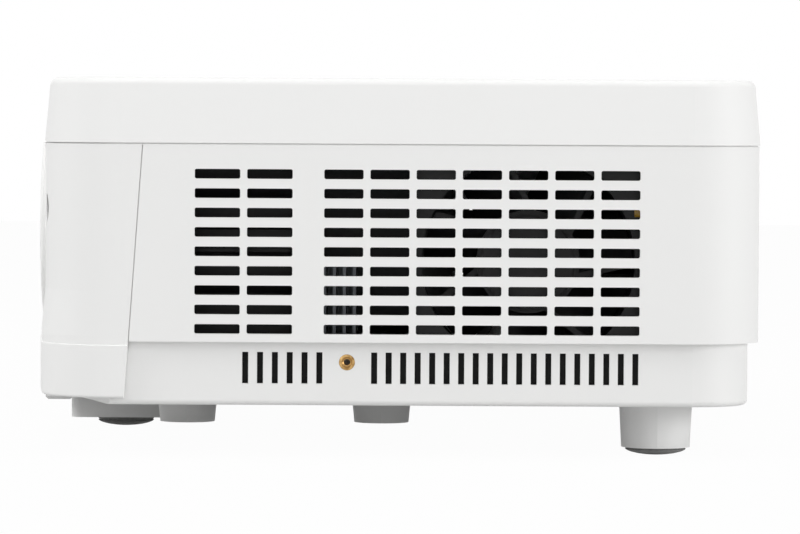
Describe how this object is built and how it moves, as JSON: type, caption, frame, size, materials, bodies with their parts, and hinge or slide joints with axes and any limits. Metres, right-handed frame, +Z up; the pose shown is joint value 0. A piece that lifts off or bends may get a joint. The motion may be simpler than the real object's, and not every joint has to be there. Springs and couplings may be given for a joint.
{
  "type": "projector with disc player",
  "caption": "Compact white lamp projector with a slim disc drawer in its far side, slot grilles, focus and zoom rings, key pad, three levelling feet and threaded mounts.",
  "frame": {"origin": "on the table, under the middle of the body's box", "axes": "+X towards the side with the slot grilles, -Y the way the lens looks, +Z up"},
  "size_m": [0.312, 0.232, 0.1181],
  "materials": {
    "white_abs": "fine spark-eroded texture, satin",
    "key_grey": "smooth satin",
    "panel_grey": "fine texture",
    "black_plastic": "satin",
    "plated_steel": "nickel or zinc plated",
    "silver_paint": "satin metallic paint",
    "smoked_acrylic": "polished",
    "clear_acrylic": "frosted light pipe",
    "brass": "turned",
    "coated_glass": "coated and polished",
    "filter_glass": "dichroic segments",
    "reflector_glass": "mirror coated",
    "black_cast_metal": "black cast magnesium",
    "aluminium": "extruded",
    "circuit_board": "solder resist",
    "component_black": "moulded epoxy",
    "component_yellow": "polyester tape over ferrite",
    "rubber": "moulded"
  },
  "bodies": {
    "casing": {"top_cover": "white_abs", "main_housing": "white_abs", "base_pan": "white_abs", "front_bezel": "white_abs", "rear_panel": "panel_grey", "connector_shells": "plated_steel", "audio_video_jacks": "black_plastic", "mains_inlet": "black_plastic", "lens_surround": "silver_paint", "remote_window": "smoked_acrylic", "thread_inserts": "brass", "housing_screws": "plated_steel", "lens_tube": "black_plastic", "rear_lens": "coated_glass", "optical_engine": "black_cast_metal", "chip_heatsink": "aluminium", "colour_wheel_motor": "plated_steel", "lamp_housing": "black_cast_metal", "lamp_reflector": "reflector_glass", "light_baffle": "black_plastic", "exhaust_fan_frame": "black_plastic", "intake_fan_frame": "black_plastic", "blower_housing": "black_plastic", "main_board": "circuit_board", "main_board_parts": "component_black", "power_board": "circuit_board", "power_board_parts": "component_yellow", "speaker": "component_black", "keypad_board": "circuit_board", "status_lights": "clear_acrylic", "drive_case": "plated_steel"},
    "focus_ring": {"focus_ring": "black_plastic", "front_lens": "coated_glass"},
    "zoom_ring": {"zoom_ring": "black_plastic"},
    "colour_wheel": {"colour_wheel": "filter_glass"},
    "exhaust_rotor": {"exhaust_fan_rotor": "black_plastic"},
    "intake_rotor": {"intake_fan_rotor": "black_plastic"},
    "blower_wheel": {"blower_wheel": "black_plastic"},
    "drawer_rails": {"drawer_rails": "plated_steel"},
    "drawer": {"disc_tray": "black_plastic", "drawer_front": "white_abs", "traverse_frame": "plated_steel"},
    "eject_button": {"eject_button": "key_grey"},
    "disc_hub": {"disc_hub": "black_plastic"},
    "pickup_sled": {"pickup_sled": "aluminium"},
    "sled_screw": {"sled_screw": "plated_steel"},
    "enter_key": {"enter_key": "key_grey"},
    "left_key": {"left_key": "key_grey"},
    "right_key": {"right_key": "key_grey"},
    "up_key": {"up_key": "key_grey"},
    "down_key": {"down_key": "key_grey"},
    "menu_key": {"menu_key": "key_grey"},
    "source_key": {"source_key": "key_grey"},
    "power_key": {"power_key": "key_grey"},
    "front_foot_screw": {"front_foot_screw": "plated_steel"},
    "front_foot_pad": {"front_foot_pad": "rubber"},
    "near_foot_screw": {"near_foot_screw": "plated_steel"},
    "near_foot_pad": {"near_foot_pad": "rubber"},
    "far_foot_screw": {"far_foot_screw": "plated_steel"},
    "far_foot_pad": {"far_foot_pad": "rubber"}
  },
  "joints": [
    {"name": "focus_turn", "type": "hinge", "parent": "casing", "child": "focus_ring", "pos_m": [0.078, -0.09, 0.07], "axis": [0, 1, 0], "range_deg": [-30, 30]},
    {"name": "zoom_turn", "type": "hinge", "parent": "casing", "child": "zoom_ring", "pos_m": [0.078, -0.073, 0.07], "axis": [0, 1, 0], "range_deg": [-20, 20]},
    {"name": "colour_wheel_spin", "type": "hinge", "parent": "casing", "child": "colour_wheel", "pos_m": [0.062, 0.0325, 0.07], "axis": [0, 1, 0], "continuous": true},
    {"name": "exhaust_fan_spin", "type": "hinge", "parent": "casing", "child": "exhaust_rotor", "pos_m": [0.137, 0.043, 0.0615], "axis": [1, 0, 0], "continuous": true},
    {"name": "intake_fan_spin", "type": "hinge", "parent": "casing", "child": "intake_rotor", "pos_m": [-0.142, 0.004, 0.0515], "axis": [1, 0, 0], "continuous": true},
    {"name": "blower_spin", "type": "hinge", "parent": "casing", "child": "blower_wheel", "pos_m": [0.012, -0.044, 0.026], "axis": [0, 0, 1], "continuous": true},
    {"name": "enter_key_press", "type": "slide", "parent": "casing", "child": "enter_key", "axis": [0, 0, -1], "range_m": [0, 0.0008], "stiffness_N_per_m": 400, "springref_m": -0.0004},
    {"name": "left_key_press", "type": "slide", "parent": "casing", "child": "left_key", "axis": [0, 0, -1], "range_m": [0, 0.0008], "stiffness_N_per_m": 400, "springref_m": -0.0004},
    {"name": "right_key_press", "type": "slide", "parent": "casing", "child": "right_key", "axis": [0, 0, -1], "range_m": [0, 0.0008], "stiffness_N_per_m": 400, "springref_m": -0.0004},
    {"name": "up_key_press", "type": "slide", "parent": "casing", "child": "up_key", "axis": [0, 0, -1], "range_m": [0, 0.0008], "stiffness_N_per_m": 400, "springref_m": -0.0004},
    {"name": "down_key_press", "type": "slide", "parent": "casing", "child": "down_key", "axis": [0, 0, -1], "range_m": [0, 0.0008], "stiffness_N_per_m": 400, "springref_m": -0.0004},
    {"name": "menu_key_press", "type": "slide", "parent": "casing", "child": "menu_key", "axis": [0, 0, -1], "range_m": [0, 0.0008], "stiffness_N_per_m": 400, "springref_m": -0.0004},
    {"name": "source_key_press", "type": "slide", "parent": "casing", "child": "source_key", "axis": [0, 0, -1], "range_m": [0, 0.0008], "stiffness_N_per_m": 400, "springref_m": -0.0004},
    {"name": "power_key_press", "type": "slide", "parent": "casing", "child": "power_key", "axis": [0, 0, -1], "range_m": [0, 0.0008], "stiffness_N_per_m": 400, "springref_m": -0.0004},
    {"name": "drawer_slide", "type": "slide", "parent": "casing", "child": "drawer", "axis": [-1, 0, 0], "range_m": [0, 0.126]},
    {"name": "rail_slide", "type": "slide", "parent": "casing", "child": "drawer_rails", "axis": [-1, 0, 0], "range_m": [0, 0.063]},
    {"name": "eject_press", "type": "slide", "parent": "drawer", "child": "eject_button", "axis": [1, 0, 0], "range_m": [0, 0.0006], "stiffness_N_per_m": 300, "springref_m": -0.0003},
    {"name": "disc_spin", "type": "hinge", "parent": "drawer", "child": "disc_hub", "pos_m": [-0.0905, 0.004, 0.089], "axis": [0, 0, 1], "continuous": true},
    {"name": "pickup_slide", "type": "slide", "parent": "drawer", "child": "pickup_sled", "axis": [1, 0, 0], "range_m": [0, 0.03]},
    {"name": "sled_screw_spin", "type": "hinge", "parent": "drawer", "child": "sled_screw", "pos_m": [-0.0905, 0.0275, 0.08405], "axis": [1, 0, 0], "range_deg": [0, 3601]},
    {"name": "front_foot_extend", "type": "slide", "parent": "casing", "child": "front_foot_screw", "axis": [0, 0, -1], "range_m": [0, 0.012]},
    {"name": "front_foot_turn", "type": "hinge", "parent": "front_foot_screw", "child": "front_foot_pad", "pos_m": [0, -0.0906, 0.0025], "axis": [0, 0, 1], "range_deg": [0, 2160.5]},
    {"name": "near_foot_extend", "type": "slide", "parent": "casing", "child": "near_foot_screw", "axis": [0, 0, -1], "range_m": [0, 0.012]},
    {"name": "near_foot_turn", "type": "hinge", "parent": "near_foot_screw", "child": "near_foot_pad", "pos_m": [0.124, 0.0843, 0.0025], "axis": [0, 0, 1], "range_deg": [0, 2160.5]},
    {"name": "far_foot_extend", "type": "slide", "parent": "casing", "child": "far_foot_screw", "axis": [0, 0, -1], "range_m": [0, 0.012]},
    {"name": "far_foot_turn", "type": "hinge", "parent": "far_foot_screw", "child": "far_foot_pad", "pos_m": [-0.124, 0.0843, 0.0025], "axis": [0, 0, 1], "range_deg": [0, 2160.5]}
  ],
  "couplings": [
    {"joint": "rail_slide", "follows": "drawer_slide", "ratio": 0.5},
    {"joint": "sled_screw_spin", "follows": "pickup_slide", "rad_per_m": 2094.4},
    {"joint": "front_foot_turn", "follows": "front_foot_extend", "rad_per_m": 3141.6},
    {"joint": "near_foot_turn", "follows": "near_foot_extend", "rad_per_m": 3141.6},
    {"joint": "far_foot_turn", "follows": "far_foot_extend", "rad_per_m": 3141.6}
  ]
}
